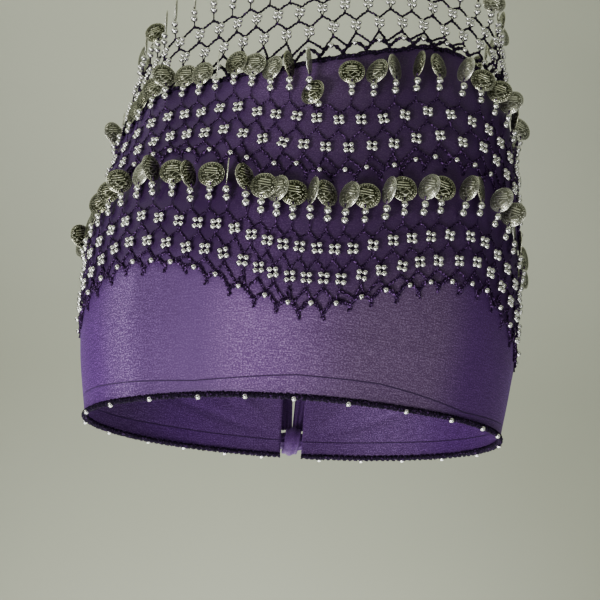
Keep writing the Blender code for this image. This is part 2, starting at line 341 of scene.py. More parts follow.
def between(table, place):
    """A value read from a table of (place, value), straight between its entries."""
    places = [entry[0] for entry in table]
    i = bisect_right(places, place)
    if i == 0 or i == len(table):
        return table[max(i - 1, 0)][1]
    (low, a), (high, b) = table[i - 1], table[i]
    return a + (b - a) * (place - low) / (high - low)


def hips_wave(across):
    """Four waves round the hips, with a crest at the middle of the front."""
    return cos(8 * pi * (across - 0.5))


def hem_drop(across):
    even = HEM_DROP - HEM_WAVE * hips_wave(across) + HEM_TILT * sin(2 * pi * across)
    return even + between(HEM_SAGS, across) * MM


def new_piece(name, bm, finish, smooth=True):
    """Puts a bmesh in the scene as a piece of the scarf, riding on its one body."""
    if smooth:
        for face in bm.faces:
            face.smooth = True
    mesh = mesh_of(bm, name)
    mesh.materials.append(finish)
    piece = placed(name, mesh)
    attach(piece, "root")
    return piece


def cloth_sheet(node, grid, place, finish, thickness, offset):
    """A cloth piece bent from a grid, in the place of a node. place gives a point, its flat place
    on the cut cloth and, for the wrap, how far it is below the stitched line and below the first
    net's start."""
    bm = bmesh.new()
    bmesh.ops.create_grid(bm, x_segments=grid[0], y_segments=grid[1], size=0.5)
    laid = {vert: place(vert.co.x + 0.5, 0.5 - vert.co.y) for vert in bm.verts}
    maps = [bm.loops.layers.uv.new(title) for title in ("cloth", "worked")]
    for vert, (point, *_) in laid.items():
        vert.co = point
    for face in bm.faces:
        for loop in face.loops:
            for layer, flat in zip(maps, laid[loop.vert][1:]):
                loop[layer].uv = flat
    bmesh.ops.recalc_face_normals(bm, faces=bm.faces)
    facing = sum(f.normal.dot(f.calc_center_median() * Vector((1, 1, 0))) for f in bm.faces)
    if facing < 0:
        bmesh.ops.reverse_faces(bm, faces=bm.faces)
    piece = new_piece(f"{node}_cloth", bm, finish)
    wall = piece.modifiers.new("cloth_wall", "SOLIDIFY")
    wall.thickness, wall.offset, wall.use_even_offset = thickness, offset, True
    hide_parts(node)
    return piece


def calc(operation, *values, kind="Math", gives=0):
    """An output of one Math or VectorMath node, in the node tree of the sockets that it takes."""
    tree = next(value.id_data for value in values if isinstance(value, bpy.types.NodeSocket))
    return add_node(tree, kind, enumerate(values), operation=operation).outputs[gives]


def times(a, b):
    return calc("MULTIPLY", a, b)


def plus(a, b):
    return calc("ADD", a, b)


def less(a, b):
    return calc("SUBTRACT", a, b)


def flat_place(tree, uv_map):
    return add_node(tree, "UVMap", uv_map=uv_map).outputs[0]


def parts_of(vector):
    return add_node(vector.id_data, "SeparateXYZ", {0: vector}).outputs


def ranged(value, low, high, to_low=0.0, to_high=1.0):
    """A value carried from one range to another, smoothly and no further than its ends."""
    inputs = {0: value, 1: low, 2: high, 3: to_low, 4: to_high}
    return add_node(value.id_data, "MapRange", inputs, interpolation_type="SMOOTHSTEP").outputs[0]


def bumped(height, depth):
    """The normal of a relief whose height 1 stands this far up, in metres."""
    inputs = {"Height": height, "Distance": depth, "Strength": 1.0}
    return add_node(height.id_data, "Bump", inputs).outputs[0]


def new_group(name, takes, gives):
    """A shader node group, as (group, what it takes, what it gives). takes and gives are its
    sockets, as (name, kind)."""
    made = bpy.data.node_groups.new(name, "ShaderNodeTree")
    for side, sockets in (("INPUT", takes), ("OUTPUT", gives)):
        for title, kind in sockets:
            made.interface.new_socket(title, in_out=side, socket_type="NodeSocket" + kind)
    return made, made.nodes.new("NodeGroupInput").outputs, made.nodes.new("NodeGroupOutput").inputs


# The crepe: twisted yarns give a fine pebbled grain, with slubs along the rows of weave.
crepe, taken, given = new_group(
    "crepe_weave",
    (("Cloth Place", "Vector"), ("Yarns Per Metre", "Float")),
    (("Height", "Float"), ("Tone", "Float")),
)
place, yarns = taken["Cloth Place"], taken["Yarns Per Metre"]
along_weave = add_node(crepe, "Mapping", {"Vector": place, "Scale": (0.7, 1.0, 1.0)}).outputs[0]
pebbles = noise_of(along_weave, yarns, 2.0, 0.65)
drawn_out = add_node(crepe, "Mapping", {"Vector": place, "Scale": (130.0, 760.0, 1.0)}).outputs[0]
slubs = noise_of(drawn_out, 1.0, 3.0, 0.6)
split = parts_of(place)
warp = calc("SINE", times(split[0], times(yarns, 9.0)))
weft = calc("SINE", times(split[1], times(yarns, 9.0)))
threads = times(plus(warp, weft), 0.05)
grain = plus(plus(pebbles, times(slubs, 0.36)), threads)
feed(crepe, given["Height"], grain)
# Its Tone marks the grain's peaks, where the chiffon paints glints of light.
feed(crepe, given["Tone"], ranged(grain, 0.60, 0.98))

# The chiffon's violet, the glint painted on its grain's peaks, and the mean share about which the
# glints' strength is scaled.
VIOLET, PAINTED_GLINT, SPARKLE_SHARE = (0.105, 0.038, 0.167, 1), (0.50, 0.30, 0.68, 1), 0.25
# The wrap's painted light and shade, in broad upright bands: how far along it, a tint, and how
# strongly its painted glints show there.
DEEP, VIVID, PLAIN = (0.36, 0.25, 0.44), (0.53, 0.36, 0.68), (0.60, 0.54, 0.67)
ASHEN, LILAC, PALE = (0.55, 0.62, 0.49), (0.86, 0.88, 0.92), (1.0, 1.0, 1.0)
PAINTED_LIGHT_RUN = [
    (0.0, PLAIN, 0.5), (0.09, LILAC, 0.6), (0.17, VIVID, 0.5), (0.26, PLAIN, 0.6),
    (0.345, DEEP, 0.32), (0.39, ASHEN, 0.42), (0.44, ASHEN, 0.42), (0.54, PALE, 0.45),
    (0.585, PLAIN, 0.2), (0.63, PLAIN, 0.4), (0.65, LILAC, 0.95), (0.69, VIVID, 0.8),
    (0.80, PLAIN, 0.6), (0.89, VIVID, 0.5), (1.0, PLAIN, 0.5),
]
# Painted light showing through the cloth under the nets, in pale patches: middle and half widths,
# as places on the flat cloth, and how pale. Then how pale the lower front is painted, from one
# drop on to another, for light showing through it.
GLOW_PATCHES = [
    ((0.472, 0.090, 0), (0.040, 0.065, 1), 0.24),
    ((0.350, 0.105, 0), (0.070, 0.040, 1), 0.12),
    ((0.425, 0.100, 0), (0.045, 0.050, 1), 0.06),
    ((0.140, 0.110, 0), (0.050, 0.060, 1), 0.16),
    ((0.660, 0.210, 0), (0.070, 0.050, 1), 0.16),
    ((0.250, 0.220, 0), (0.050, 0.040, 1), 0.12),
    ((0.760, 0.100, 0), (0.060, 0.050, 1), 0.14),
]
LOW_GLOW = ((160 * MM, 185 * MM, 0.20), (205 * MM, 235 * MM, 0.26))
SHEEN_TINT = (0.45, 0.22, 0.85, 1)
# Painted shade under the nets; then the doubled top edge's colour, which also paints a line of shade
# along its turned edge.
NET_SHADE_PAINT, DOUBLED_AND_CREASE_SHADE = (0.031, 0.008, 0.057, 1), (0.030, 0.012, 0.060, 1)


def painted_light_run(across):
    """The tint of the wrap's painted light and shade, and its glints' strength, along it."""
    run = add_node(across.id_data, "ValToRGB", {0: calc("DIVIDE", across, CLOTH_LONG)})
    run.color_ramp.interpolation = "EASE"
    stops = run.color_ramp.elements
    stops.remove(stops[1])
    for position, tint, crisp in PAINTED_LIGHT_RUN:
        stop = stops.new(position) if position > 0 else stops[0]
        stop.color = (*tint, crisp)
    return run.outputs["Color"], times(run.outputs["Alpha"], 2.0)


def painted_shade_and_glow(place, into_net, cloudy):
    """Painted shade on the wrap: most under the nets, and less where painted light shows through."""
    across, drop = parts_of(place)[:2]
    shade = ranged(plus(into_net, times(cloudy, 10 * MM)), 0.0, 32 * MM)
    shade = times(shade, ranged(across, 0.36, 0.56, 0.80, 0.93))
    # Painted light showing through the cloth: paler on the lower front and in patches.
    low = plus(*(ranged(drop, start, end, 0.0, share) for start, end, share in LOW_GLOW))
    thin = times(low, ranged(across, 0.37, 0.42))
    thin = times(thin, ranged(across, 0.50, 0.56, 1.0, 0.25))
    for middle, wide, share in GLOW_PATCHES:
        away = calc("SUBTRACT", place, middle, kind="VectorMath")
        away = calc("DIVIDE", away, wide, kind="VectorMath")
        away = calc("LENGTH", away, kind="VectorMath", gives=1)
        thin = plus(thin, ranged(away, 0.0, 1.0, share, 0.0))
    return times(shade, less(1.0, thin))


def chiffon_finish(name, is_wrap, alpha):
    """Crepe chiffon, with glints painted on its grain. On the wrap, painted light and shade change
    along its length, painted shade deepens it under the nets, less where painted light shows
    through, and it is darker and closer where its turned top edge is doubled, with a line of
    painted shade along that edge."""
    made, tree, shader = new_material(name)
    place = flat_place(tree, "cloth")
    weave = add_node(tree, "Group", node_tree=crepe)
    feed(tree, weave.inputs["Cloth Place"], place)
    feed(tree, weave.inputs["Yarns Per Metre"], 1150.0)
    # On the wrap: its painted light and shade, and the strength of its painted glints.
    tint, strength = painted_light_run(parts_of(place)[0]) if is_wrap else (DEEP, 0.7)
    # Painted glints on the grain's peaks, stronger or weaker by the strength above.
    above_mean = times(less(weave.outputs["Tone"], SPARKLE_SHARE), strength)
    grain = plus(above_mean, SPARKLE_SHARE)
    cloudy = noise_of(place, 14.0, 3.0)
    tone = plus(grain, times(less(cloudy, 0.5), 0.2))
    colour = calc("MULTIPLY", blended(tone, VIOLET, PAINTED_GLINT), tint, kind="VectorMath")
    height, cover = weave.outputs["Height"], alpha
    if is_wrap:
        from_seam, into_net = parts_of(flat_place(tree, "worked"))[:2]
        # Painted shade under the nets, lifted where painted light shows through.
        colour = blended(painted_shade_and_glow(place, into_net, cloudy), colour, NET_SHADE_PAINT)
        # The doubled top edge is darker and closer; along its turned edge runs a line of painted
        # shade.
        doubled = ranged(from_seam, -0.3 * MM, 0.3 * MM, 1.0, 0.0)
        stitched = ranged(calc("ABSOLUTE", from_seam), 0.3 * MM, 0.8 * MM, 1.0, 0.0)
        shaded = plus(times(doubled, 0.15), times(stitched, 0.65))
        colour = blended(shaded, colour, DOUBLED_AND_CREASE_SHADE)
        height = plus(height, times(doubled, 1.2))
        cover = plus(alpha, times(doubled, 0.99 - alpha))
    set_sockets(
        shader,
        Base_Color=colour,
        Alpha=cover,
        Normal=bumped(height, 0.30 * MM),
        Roughness=0.52,
        Specular_IOR_Level=0.24,
        Sheen_Weight=0.20,
        Sheen_Roughness=0.4,
        Sheen_Tint=SHEEN_TINT,
    )
    return made


def wrap_place(across, share):
    top = between(RIM_SAGS, across) * MM
    drop = top + share * (hem_drop(across) - top)
    worked = WORKED_FROM - WORKED_WAVE * hips_wave(across)
    marks = (drop - between(STITCHED_LINE, across) * MM, drop - worked)
    return on_cloth(across, drop), (across * CLOTH_LONG, drop), marks


wrap_finish = chiffon_finish("violet_chiffon", True, WRAP_COVER)
wrap = cloth_sheet("chiffon_wrap", WRAP_GRID, wrap_place, wrap_finish, CLOTH_THICK, -1)


# ---------------- crocheted top edge
# A thick roll of dark crochet cotton worked over the turned edge, with three looser strands wound
# round it, and one silver bead sewn on every three to four centimetres.
EDGE_RADIUS, WOUND_RADIUS, WOUND_PITCH, EDGE_RISE = 1.75 * MM, 0.5 * MM, 5.2 * MM, 1.2 * MM
EDGE_STEP, EDGE_BEAD_RADIUS = 1.5 * MM, 1.9 * MM
EDGE_BEADS = [
    0.02, 0.065, 0.11, 0.155, 0.20, 0.245, 0.29, 0.32, 0.36, 0.405, 0.455, 0.50, 0.54, 0.58, 0.625,
    0.67, 0.715, 0.76, 0.805, 0.855, 0.895, 0.94, 0.98,
]
BEAD_ROUND, BEAD_TALL = 10, 6

# Mottling for worn metal and uneven dye: low and high set where its tone starts and ends.
mottle, taken, given = new_group(
    "mottling",
    (("Place", "Vector"), ("Spots Per Metre", "Float"), ("Low", "Float"), ("High", "Float")),
    (("Tone", "Float"),),
)
speckle = noise_of(taken["Place"], taken["Spots Per Metre"], 4.0, 0.6)
feed(mottle, given["Tone"], ranged(speckle, taken["Low"], taken["High"]))


def mottled(place, spots, low, high):
    inputs = {"Place": place, "Spots Per Metre": spots, "Low": low, "High": high}
    made = add_node(place.id_data, "Group", inputs, node_tree=mottle)
    return made.outputs["Tone"]


def cotton_finish(name, dark, light, highlight_flecks):
    """Fuzzy mercerised cotton. The last argument sets how much of it shows lighter flecks: painted
    highlights on its raised fibres.
    """
    made, tree, shader = new_material(name)
    place = object_place(tree)
    strands = mottled(place, 1100.0, 0.40, 0.70)
    loops = mottled(place, 760.0, 0.63 - highlight_flecks, 0.72 - highlight_flecks)
    # Where the painted highlights of the fuzz show, over the dark yarn.
    shade = times(loops, plus(times(strands, 0.7), 0.3))
    set_sockets(
        shader,
        Base_Color=blended(shade, dark, light),
        Normal=bumped(plus(strands, loops), 0.35 * MM),
        Roughness=0.8,
        Specular_IOR_Level=0.12,
        Sheen_Weight=0.06,
        Sheen_Roughness=0.4,
        Sheen_Tint=SHEEN_TINT,
    )
    return made


# Two copies of one cotton: edge_cotton, darker, for the top roll, the hem and the lowest net; on the
# lowest net its darkness is painted shade, for cords seen against the pale room behind.
net_cotton = cotton_finish("net_cotton", (0.012, 0.003, 0.022, 1), (0.370, 0.170, 0.560, 1), 0.12)
edge_cotton = cotton_finish("edge_cotton", (0.006, 0.003, 0.011, 1), (0.150, 0.062, 0.235, 1), 0.08)

# Silver-plated beads, dull and soft in shine, and dark at their holes: the thread in them, with
# painted shade where stacked beads touch.
silver_bead, tree, shader = new_material("silver_bead")
place = object_place(tree)
worn = mottled(place, 260.0, 0.30, 0.80)
upright = parts_of(flat_place(tree, "bead"))[1]
hole = ranged(calc("ABSOLUTE", upright), 0.86, 0.99)
plated = blended(worn, (0.93, 0.93, 0.90, 1), (0.74, 0.74, 0.70, 1))
set_sockets(
    shader,
    Base_Color=blended(hole, plated, (0.035, 0.022, 0.045, 1)),
    Roughness=ranged(worn, 0.0, 1.0, 0.20, 0.29),
    Metallic=1.0,
)


def cord_piece(name, strands, radius, finish):
    """Crochet cords as one curve. Each strand is a list of (point, share of the radius)."""
    curve = bpy.data.curves.new(name, "CURVE")
    curve.dimensions = "3D"
    curve.bevel_depth = radius
    curve.bevel_resolution = 1
    curve.use_fill_caps = True
    for strand in strands:
        spline = curve.splines.new("POLY")
        spline.points.add(len(strand) - 1)
        spline.points.foreach_set("co", [x for point, _ in strand for x in (*point, 1)])
        spline.points.foreach_set("radius", [share for _, share in strand])
        spline.use_smooth = True
    curve.materials.append(finish)
    piece = placed(name, curve)
    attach(piece, "root")
    return piece


def lay_flat(bm, title, flat):
    """Gives a bmesh a UV map: flat gives each vertex its place on it."""
    layer = bm.loops.layers.uv.new(title)
    for face in bm.faces:
        for loop in face.loops:
            loop[layer].uv = flat(loop.vert)


bead_bm = bmesh.new()
bmesh.ops.create_uvsphere(bead_bm, u_segments=BEAD_ROUND, v_segments=BEAD_TALL, radius=1.0)
lay_flat(bead_bm, "bead", lambda vert: (0, vert.co.z))
bead_shape = mesh_of(bead_bm, "bead_shape")


def add_copy(bm, shape, place):
    """Adds a copy of a finished shape to a bmesh, moved to its place."""
    copy = shape.copy()
    copy.transform(place)
    bm.from_mesh(copy)
    bpy.data.meshes.remove(copy)


def bead_piece(name, beads):
    """Small round beads as one piece, their holes upright. Each is (point, radius)."""
    bm = bmesh.new()
    chance = Random(name)
    for point, radius in beads:
        axis = Vector((chance.uniform(-1, 1), chance.uniform(-1, 1), 0.2))
        turn = Matrix.Rotation(chance.gauss(0, 0.22), 4, axis)
        radius *= chance.uniform(0.95, 1.05)
        size = Matrix.Diagonal((radius, radius, radius * chance.uniform(0.88, 0.97), 1))
        add_copy(bm, bead_shape, Matrix.Translation(point) @ turn @ size)
    piece = new_piece(name, bm, silver_bead)
    return piece


def edge_point(across):
    """The middle of the roll over the top edge."""
    return on_cloth(across, between(RIM_SAGS, across) * MM, -0.4 * MM) + Vector((0, 0, EDGE_RISE))


chance = Random("edge")
steps = int(CLOTH_LONG / EDGE_STEP)
core = [(edge_point(i / steps), chance.uniform(0.78, 1.18)) for i in range(steps + 1)]
wound = [core]
for hand, start in ((1, 0.0), (1, 2.3), (-1, 1.0)):
    strand = []
    steps = int(CLOTH_LONG / WOUND_PITCH) * 8
    for i in range(steps + 1):
        turn = start + hand * 2 * pi * (i + chance.uniform(-0.5, 0.5)) / 8
        ring_radius = EDGE_RADIUS * chance.uniform(0.95, 1.15) + WOUND_RADIUS * 0.2
        spoke = outward(i / steps, 0.0) * cos(turn) + Vector((0, 0, sin(turn)))
        thick = chance.uniform(0.6, 1.3) * WOUND_RADIUS / EDGE_RADIUS
        strand.append((edge_point(i / steps) + spoke * ring_radius, thick))
    wound.append(strand)
edging = cord_piece("edging_roll", wound, EDGE_RADIUS, edge_cotton)
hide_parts("top_edging")
sewn = []
for across in EDGE_BEADS:
    off = outward(across, 0.0) * chance.uniform(0.8, 1.8) * MM
    up = Vector((0, 0, chance.uniform(1.2, 1.9) * MM))
    sewn.append((edge_point(across) + off + up, EDGE_BEAD_RADIUS))
bead_piece("edging_beads", sewn)


# ---------------- crochet nets
# Each row of net starts from spikes of crochet sewn through the cloth, a silver bead in each dip
# between them. Below hang two tiers of diamonds of the same cotton, with a cluster of four small
# beads on two threads under each fork, and a last zigzag.
CORD_RADIUS, CORD_STEP, CORD_OUT = 0.55 * MM, 1.15 * MM, 0.9 * MM
SMALL_BEAD, SINGLE_BEAD, PAIR_BEAD = 2.15 * MM, 2.2 * MM, 3.05 * MM
BESIDE, BELOW, PAIR_APART = 2.1 * MM, 2.1 * MM, 5.6 * MM
# Lines of a net, as shares of the way from its points down to the middle of its bead pairs.
DIPS, CHAIN_ENDS, FIRST_FORKS, SECOND_TOPS, SECOND_FORKS = 0.155, 0.11, 0.265, 0.445, 0.555
THIRD_TOPS, THIRD_FORKS = 0.745, 0.838
BEADS_DOWN = 0.58  # where a bead cluster sits, from the fork above it down to the next top
SPIKE_ABOVE, SPIKE_BELOW, KNOT_STRAY, MOST_NUDGED = 1.5 * MM, 5.5 * MM, 0.35, 3.5 * MM
# Where the sags of a net's points have faded out, and where the pull on its pendants starts.
POINTS_FADED, PULL_STARTS = 0.3, 0.4
# A net's sags, pulls and leans are lists of (column, how far): millimetres down for the first
# three, columns to the right for the leans.
Net = namedtuple(
    "Net",
    "columns stitches points points_wave points_tilt pairs pairs_wave pairs_tilt"
    " point_sags sags pulled leans",
)


def column_place(net, column):
    """Where a column of a net is across the cloth, with its lean to one side."""
    return clamped((column + between(net.leans, column)) / net.columns)


def line_drop(net, share, across):
    """The drop of one of a net's lines: 0 is its points, and 1 the middle of its bead pairs."""
    wave, tilt = hips_wave(across), sin(2 * pi * across)
    points = net.points - net.points_wave * wave + net.points_tilt * tilt
    pairs = net.pairs - net.pairs_wave * wave + net.pairs_tilt * tilt
    lower = min(share / POINTS_FADED, 1)
    column = across * net.columns
    upper_sag = between(net.point_sags, column) if net.point_sags else between(HEM_SAGS, across)
    pull = between(net.pulled, column) * max(share - PULL_STARTS, 0) / (1 - PULL_STARTS)
    sag = upper_sag * (1 - lower) + between(net.sags, column) * lower
    return points + (pairs - points) * share + (sag + pull) * MM


def cord_between(path, chance, out=CORD_OUT, thick=1.0, sag=0.5 * MM, sway=0.0):
    """A strand of crochet chain through places (across, drop) on the cloth, lumpy all along.
    sway sends it from side to side, as the two strands of a chain's loops go."""
    strand = []
    for (a, d), (b, e) in zip(path, path[1:]):
        steps = max(int(sqrt(((b - a) * CLOTH_LONG) ** 2 + (e - d) ** 2) / CORD_STEP), 2)
        for i in range(steps):
            t = i / steps
            drop = d + (e - d) * t + sag * sin(pi * t) + chance.gauss(0, 0.16) * MM
            drop += sway * sin(i * 2 * pi / 3.3)
            across = a + (b - a) * t + chance.gauss(0, 0.16) * MM / CLOTH_LONG
            point = on_cloth(across, drop, out + chance.uniform(-0.1, 0.3) * MM)
            knot = 1.55 if i == 0 else (1.25 if i % 2 else 0.72)
            strand.append((point, thick * knot * chance.uniform(0.88, 1.12)))
    strand.append((on_cloth(*path[-1], out), thick * 1.3))
    return strand


def first_round(net, chance, open_by, stout):
    """(strands, beads, chain, dips): the spikes through the cloth, and the chain that dips
    between them with a bead in each dip. open_by sets how far apart its two strands lie."""
    strands, beads, chain, dips = [], [], [], []
    for j in range(net.stitches + 1):
        across = clamped((j + chance.gauss(0, 0.05)) / net.stitches, 0.001, 0.999)
        drop = line_drop(net, 0.0, across) + chance.gauss(0, 0.8) * MM
        tip = drop - SPIKE_ABOVE
        lean = chance.gauss(0, 0.9) * MM / CLOTH_LONG
        spike = [(across + lean, tip - 0.6 * MM), (across, drop + SPIKE_BELOW)]
        strands.append(cord_between(spike, chance, 0.5 * MM, 0.95 * stout))
        for side in (-1, 1):
            beside = across + side * chance.uniform(0.6, 1.5) * MM / CLOTH_LONG
            hook = [(beside, tip + chance.uniform(0.2, 2.4) * MM), (across, drop + 2.5 * MM)]
            strands.append(cord_between(hook, chance, 0.4 * MM, 0.65))
        chain.append((across, drop + 2.2 * MM))
        if j < net.stitches:
            dip = min((j + 0.5 + chance.gauss(0, 0.05)) / net.stitches, 1)
            low = line_drop(net, DIPS, dip) + chance.gauss(0, 0.4) * MM
            chain.append((dip, low))
            dips.append(dip)
            beads.append((on_cloth(dip, low - 2.2 * MM, CORD_OUT + SINGLE_BEAD * 0.9), SINGLE_BEAD))
    hung = [chain[0]]
    for (a, d), (b, e) in zip(chain, chain[1:]):
        (upper, high), (lower, low) = sorted(((a, d), (b, e)), key=lambda place: place[1])
        hung += [((upper + lower) / 2, high + (low - high) * 0.68), (b, e)]
    for side in (-1, 1):
        strands.append(cord_between(hung, chance, CORD_OUT, 1.35 * stout, 0.3 * MM, side * open_by))
    return strands, beads, chain, dips


def zigzag(edges, middles):
    path = [edges[0]]
    for middle, edge in zip(middles, edges[1:]):
        path += [middle, edge]
    return path


def bead_cluster(upper, lower, chance):
    """(strands, beads): four beads on two threads, between a fork and the top below it."""
    strands, beads = [], []
    middle = ((upper[0] + lower[0]) / 2, upper[1] + (lower[1] - upper[1]) * BEADS_DOWN)
    turn = radians(chance.gauss(0, 7))
    for side in (-1, 1):
        path = [upper]
        for step in (-1, 1):
            x, y = side * BESIDE, step * BELOW
            across = clamped(middle[0] + (x * cos(turn) - y * sin(turn)) / CLOTH_LONG)
            drop = middle[1] + x * sin(turn) + y * cos(turn) + chance.gauss(0, 0.18) * MM
            path.append((across, drop))
            beads.append((on_cloth(across, drop, SMALL_BEAD + 0.3 * MM), SMALL_BEAD))
        strands.append(cord_between([*path, lower], chance, SMALL_BEAD * 0.8, 0.55, 0.0))
    return strands, beads


def net_parts(net, name, open_by, stout):
    """(strands, beads, starts): a net's cords and beads, and where each pendant thread starts.
    stout sets how thick the strands of its first rounds are."""
    chance = Random(name)
    strands, beads, chain, dips = first_round(net, chance, open_by, stout)

    def spot(column, share):
        across = column_place(net, column)
        drop = line_drop(net, share, across) + chance.gauss(0, KNOT_STRAY) * MM
        return (clamped(across + chance.gauss(0, KNOT_STRAY) * MM / CLOTH_LONG), drop)

    tops, first_forks, second_tops, second_forks, third_tops, third_forks = [], [], [], [], [], []
    for k in range(net.columns + 1):
        edge = column_place(net, k)
        dip = min(dips, key=lambda place: abs(place - edge))
        edge += clamped((dip - edge) * 0.75, -MOST_NUDGED, MOST_NUDGED)
        deepest = line_drop(net, FIRST_FORKS, edge) - 3.5 * MM
        start = max(between(chain, edge), line_drop(net, CHAIN_ENDS, edge))
        tops.append((edge, min(start, deepest)))
        second_forks.append(spot(k, SECOND_FORKS))
        third_tops.append(spot(k, THIRD_TOPS))
    for k in range(net.columns):
        first_forks.append(spot(k + 0.5, FIRST_FORKS))
        second_tops.append(spot(k + 0.5, SECOND_TOPS))
        third_forks.append(spot(k + 0.5, THIRD_FORKS))
    first = zigzag(tops, first_forks)
    for thick, sag, sway in ((1.15, 0.5 * MM, open_by * 0.6), (0.85, 0.3 * MM, -open_by * 0.6)):
        strands.append(cord_between(first, chance, CORD_OUT, thick * stout, sag, sway))
    for line in (zigzag(second_forks, second_tops), zigzag(third_tops, third_forks)):
        strands.append(cord_between(line, chance, thick=1.1, sway=0.4 * MM))
    for upper, lower in [*zip(first_forks, second_tops), *zip(second_forks, third_tops)]:
        threads, cluster = bead_cluster(upper, lower, chance)
        strands += threads
        beads += cluster
    return strands, beads, third_forks


# ---------------- hanging coins
# Thin stamped discs of antiqued metal, pierced near the rim. Each hangs under a pair of silver
# beads, on a thread tied to a lower corner of its net's last zigzag.
COIN_RADIUS, COIN_THICK, COIN_SIDES, HOLE_IN = 9.7 * MM, 0.55 * MM, 20, 1.9 * MM
PAIR_TO_HOLE = 6.9 * MM
# Their stamping, in millimetres from the middle: bars (height, left end, right end), waves
# (height, swell, middle, reach, phase) and dots.
BARS = ((-1.0, -5.2, 4.6), (-2.95, -4.4, 5.2), (-4.85, -3.9, 3.7))
WAVES = ((1.45, 0.95, -0.2, 5.3, 0.4), (3.75, 0.75, -0.6, 3.9, 2.2), (5.7, 0.35, 0.4, 2.2, 0.0))
DOTS = (
    (-5.0, 3.3), (4.9, 3.6), (3.4, 5.6), (-3.2, 5.8), (-6.2, 0.7), (6.1, 0.6), (2.6, 0.4),
    (-6.0, -3.0), (6.2, -2.0), (0.0, -6.5),
)
RIM_DOTS, RIM_DOTS_OUT, HOLE_UP, STROKE_SOFT = 30.0, 8.15, 7.4, 0.26
# A coin is moved out in steps until it clears the cloth and its neighbours.
COIN_CLEAR, LIFT_STEP, MOST_LIFTS = 0.8 * MM, 0.7 * MM, 14
PRESSED_FLAT, CLEAR_OF_CLOTH, OVER_CAUGHT = 1.3 * MM, 0.6 * MM, 7.5 * MM
PRESSED_SPREAD, FREE_SPREAD = 3, 30  # how far a coin turns from the cloth by chance, in degrees
SLANT_SPREAD, SLANT_DOWNHILL = radians(6), radians(20)
TAILS_WIDE, TAILS_LOW = 0.06, 165 * MM  # the tails press on coins this near the opening
LEAST_OUTWARD = 0.06  # a coin that faces out less than this is turned back to twice as much


def stamped_finish():
    """Worn stamped metal: a dotted rim, waves over three bars, pale where raised and dark below.
    Some coins are painted paler all over, for the light they reflect.
    """
    made, tree, shader = new_material("antique_coin")
    place = flat_place(tree, "stamp")
    split = parts_of(place)
    u = times(split[0], 1000.0)
    v = times(split[1], 1000.0)
    radius = calc("SQRT", plus(times(u, u), times(v, v)))

    def band(value, middle, half, soft=0.22):
        apart = calc("ABSOLUTE", less(value, middle))
        return ranged(apart, half - soft / 2, half + soft / 2, 1.0, 0.0)

    def either(a, b):
        return calc("MAXIMUM", a, b)

    angle = calc("ARCTAN2", v, u)
    beat = calc("COSINE", times(angle, RIM_DOTS))
    dots = times(band(radius, RIM_DOTS_OUT, 0.62, 0.4), ranged(beat, -0.35, 0.35))
    raised = either(dots, ranged(radius, 8.95, 9.15))
    for height, low_end, high_end in BARS:
        slope = plus(v, times(calc("SINE", times(u, 0.5)), 0.22))
        long = band(u, (low_end + high_end) / 2, (high_end - low_end) / 2, 0.5)
        raised = either(raised, times(band(slope, height, 0.40, STROKE_SOFT), long))
    for height, swell, middle, reach, phase in WAVES:
        wave = calc("SINE", plus(times(u, 0.9), phase))
        curve = less(v, times(wave, swell))
        stroke = times(band(curve, height, 0.34, STROKE_SOFT), band(u, middle, reach, 0.5))
        raised = either(raised, stroke)
    for x, y in DOTS:
        away = calc("DISTANCE", place, (x * MM, y * MM, 0), kind="VectorMath", gives=1)
        raised = either(raised, ranged(times(away, 1000.0), 0.38, 0.80, 1.0, 0.0))
    from_hole = calc("SQRT", plus(times(u, u), calc("POWER", less(v, HOLE_UP), 2.0)))
    hole = ranged(from_hole, 0.75, 0.95, 1.0, 0.0)
    raised = times(raised, less(1.0, hole))
    wear_and_shine = mottled(object_place(tree), 330.0, 0.30, 0.72)
    grime = mottled(object_place(tree), 60.0, 0.32, 0.70)
    # How pale this coin is painted, for the light it reflects.
    pale = parts_of(flat_place(tree, "wear_and_shine"))[0]
    high = blended(wear_and_shine, (0.37, 0.38, 0.25, 1), (0.77, 0.78, 0.62, 1))
    high = blended(pale, high, (0.98, 0.99, 0.88, 1))
    low = blended(grime, (0.018, 0.020, 0.008, 1), (0.055, 0.058, 0.028, 1))
    low = blended(pale, low, (0.25, 0.255, 0.19, 1))
    colour = blended(raised, low, high)
    colour = blended(hole, colour, (0.01, 0.008, 0.015, 1))
    relief = plus(raised, times(wear_and_shine, 0.12))
    set_sockets(
        shader,
        Base_Color=colour,
        Metallic=0.9,
        Roughness=ranged(raised, 0.0, 1.0, 0.46, 0.27),
        Normal=bumped(relief, 0.45 * MM),
    )
    return made


antique_coin = stamped_finish()
coin_shape = bmesh.new()
bmesh.ops.create_cone(
    coin_shape,
    cap_ends=True,
    segments=COIN_SIDES,
    radius1=COIN_RADIUS,
    radius2=COIN_RADIUS,
    depth=COIN_THICK,
)
caps = [face for face in coin_shape.faces if len(face.verts) == COIN_SIDES]
bmesh.ops.poke(coin_shape, faces=caps, offset=0.25 * MM)
# Each coin's paint for the light it reflects, set as it is hung.
coin_shape.loops.layers.uv.new("wear_and_shine")
lay_flat(coin_shape, "stamp", lambda vert: vert.co.xy)
coin_mesh = mesh_of(coin_shape, "coin_shape")


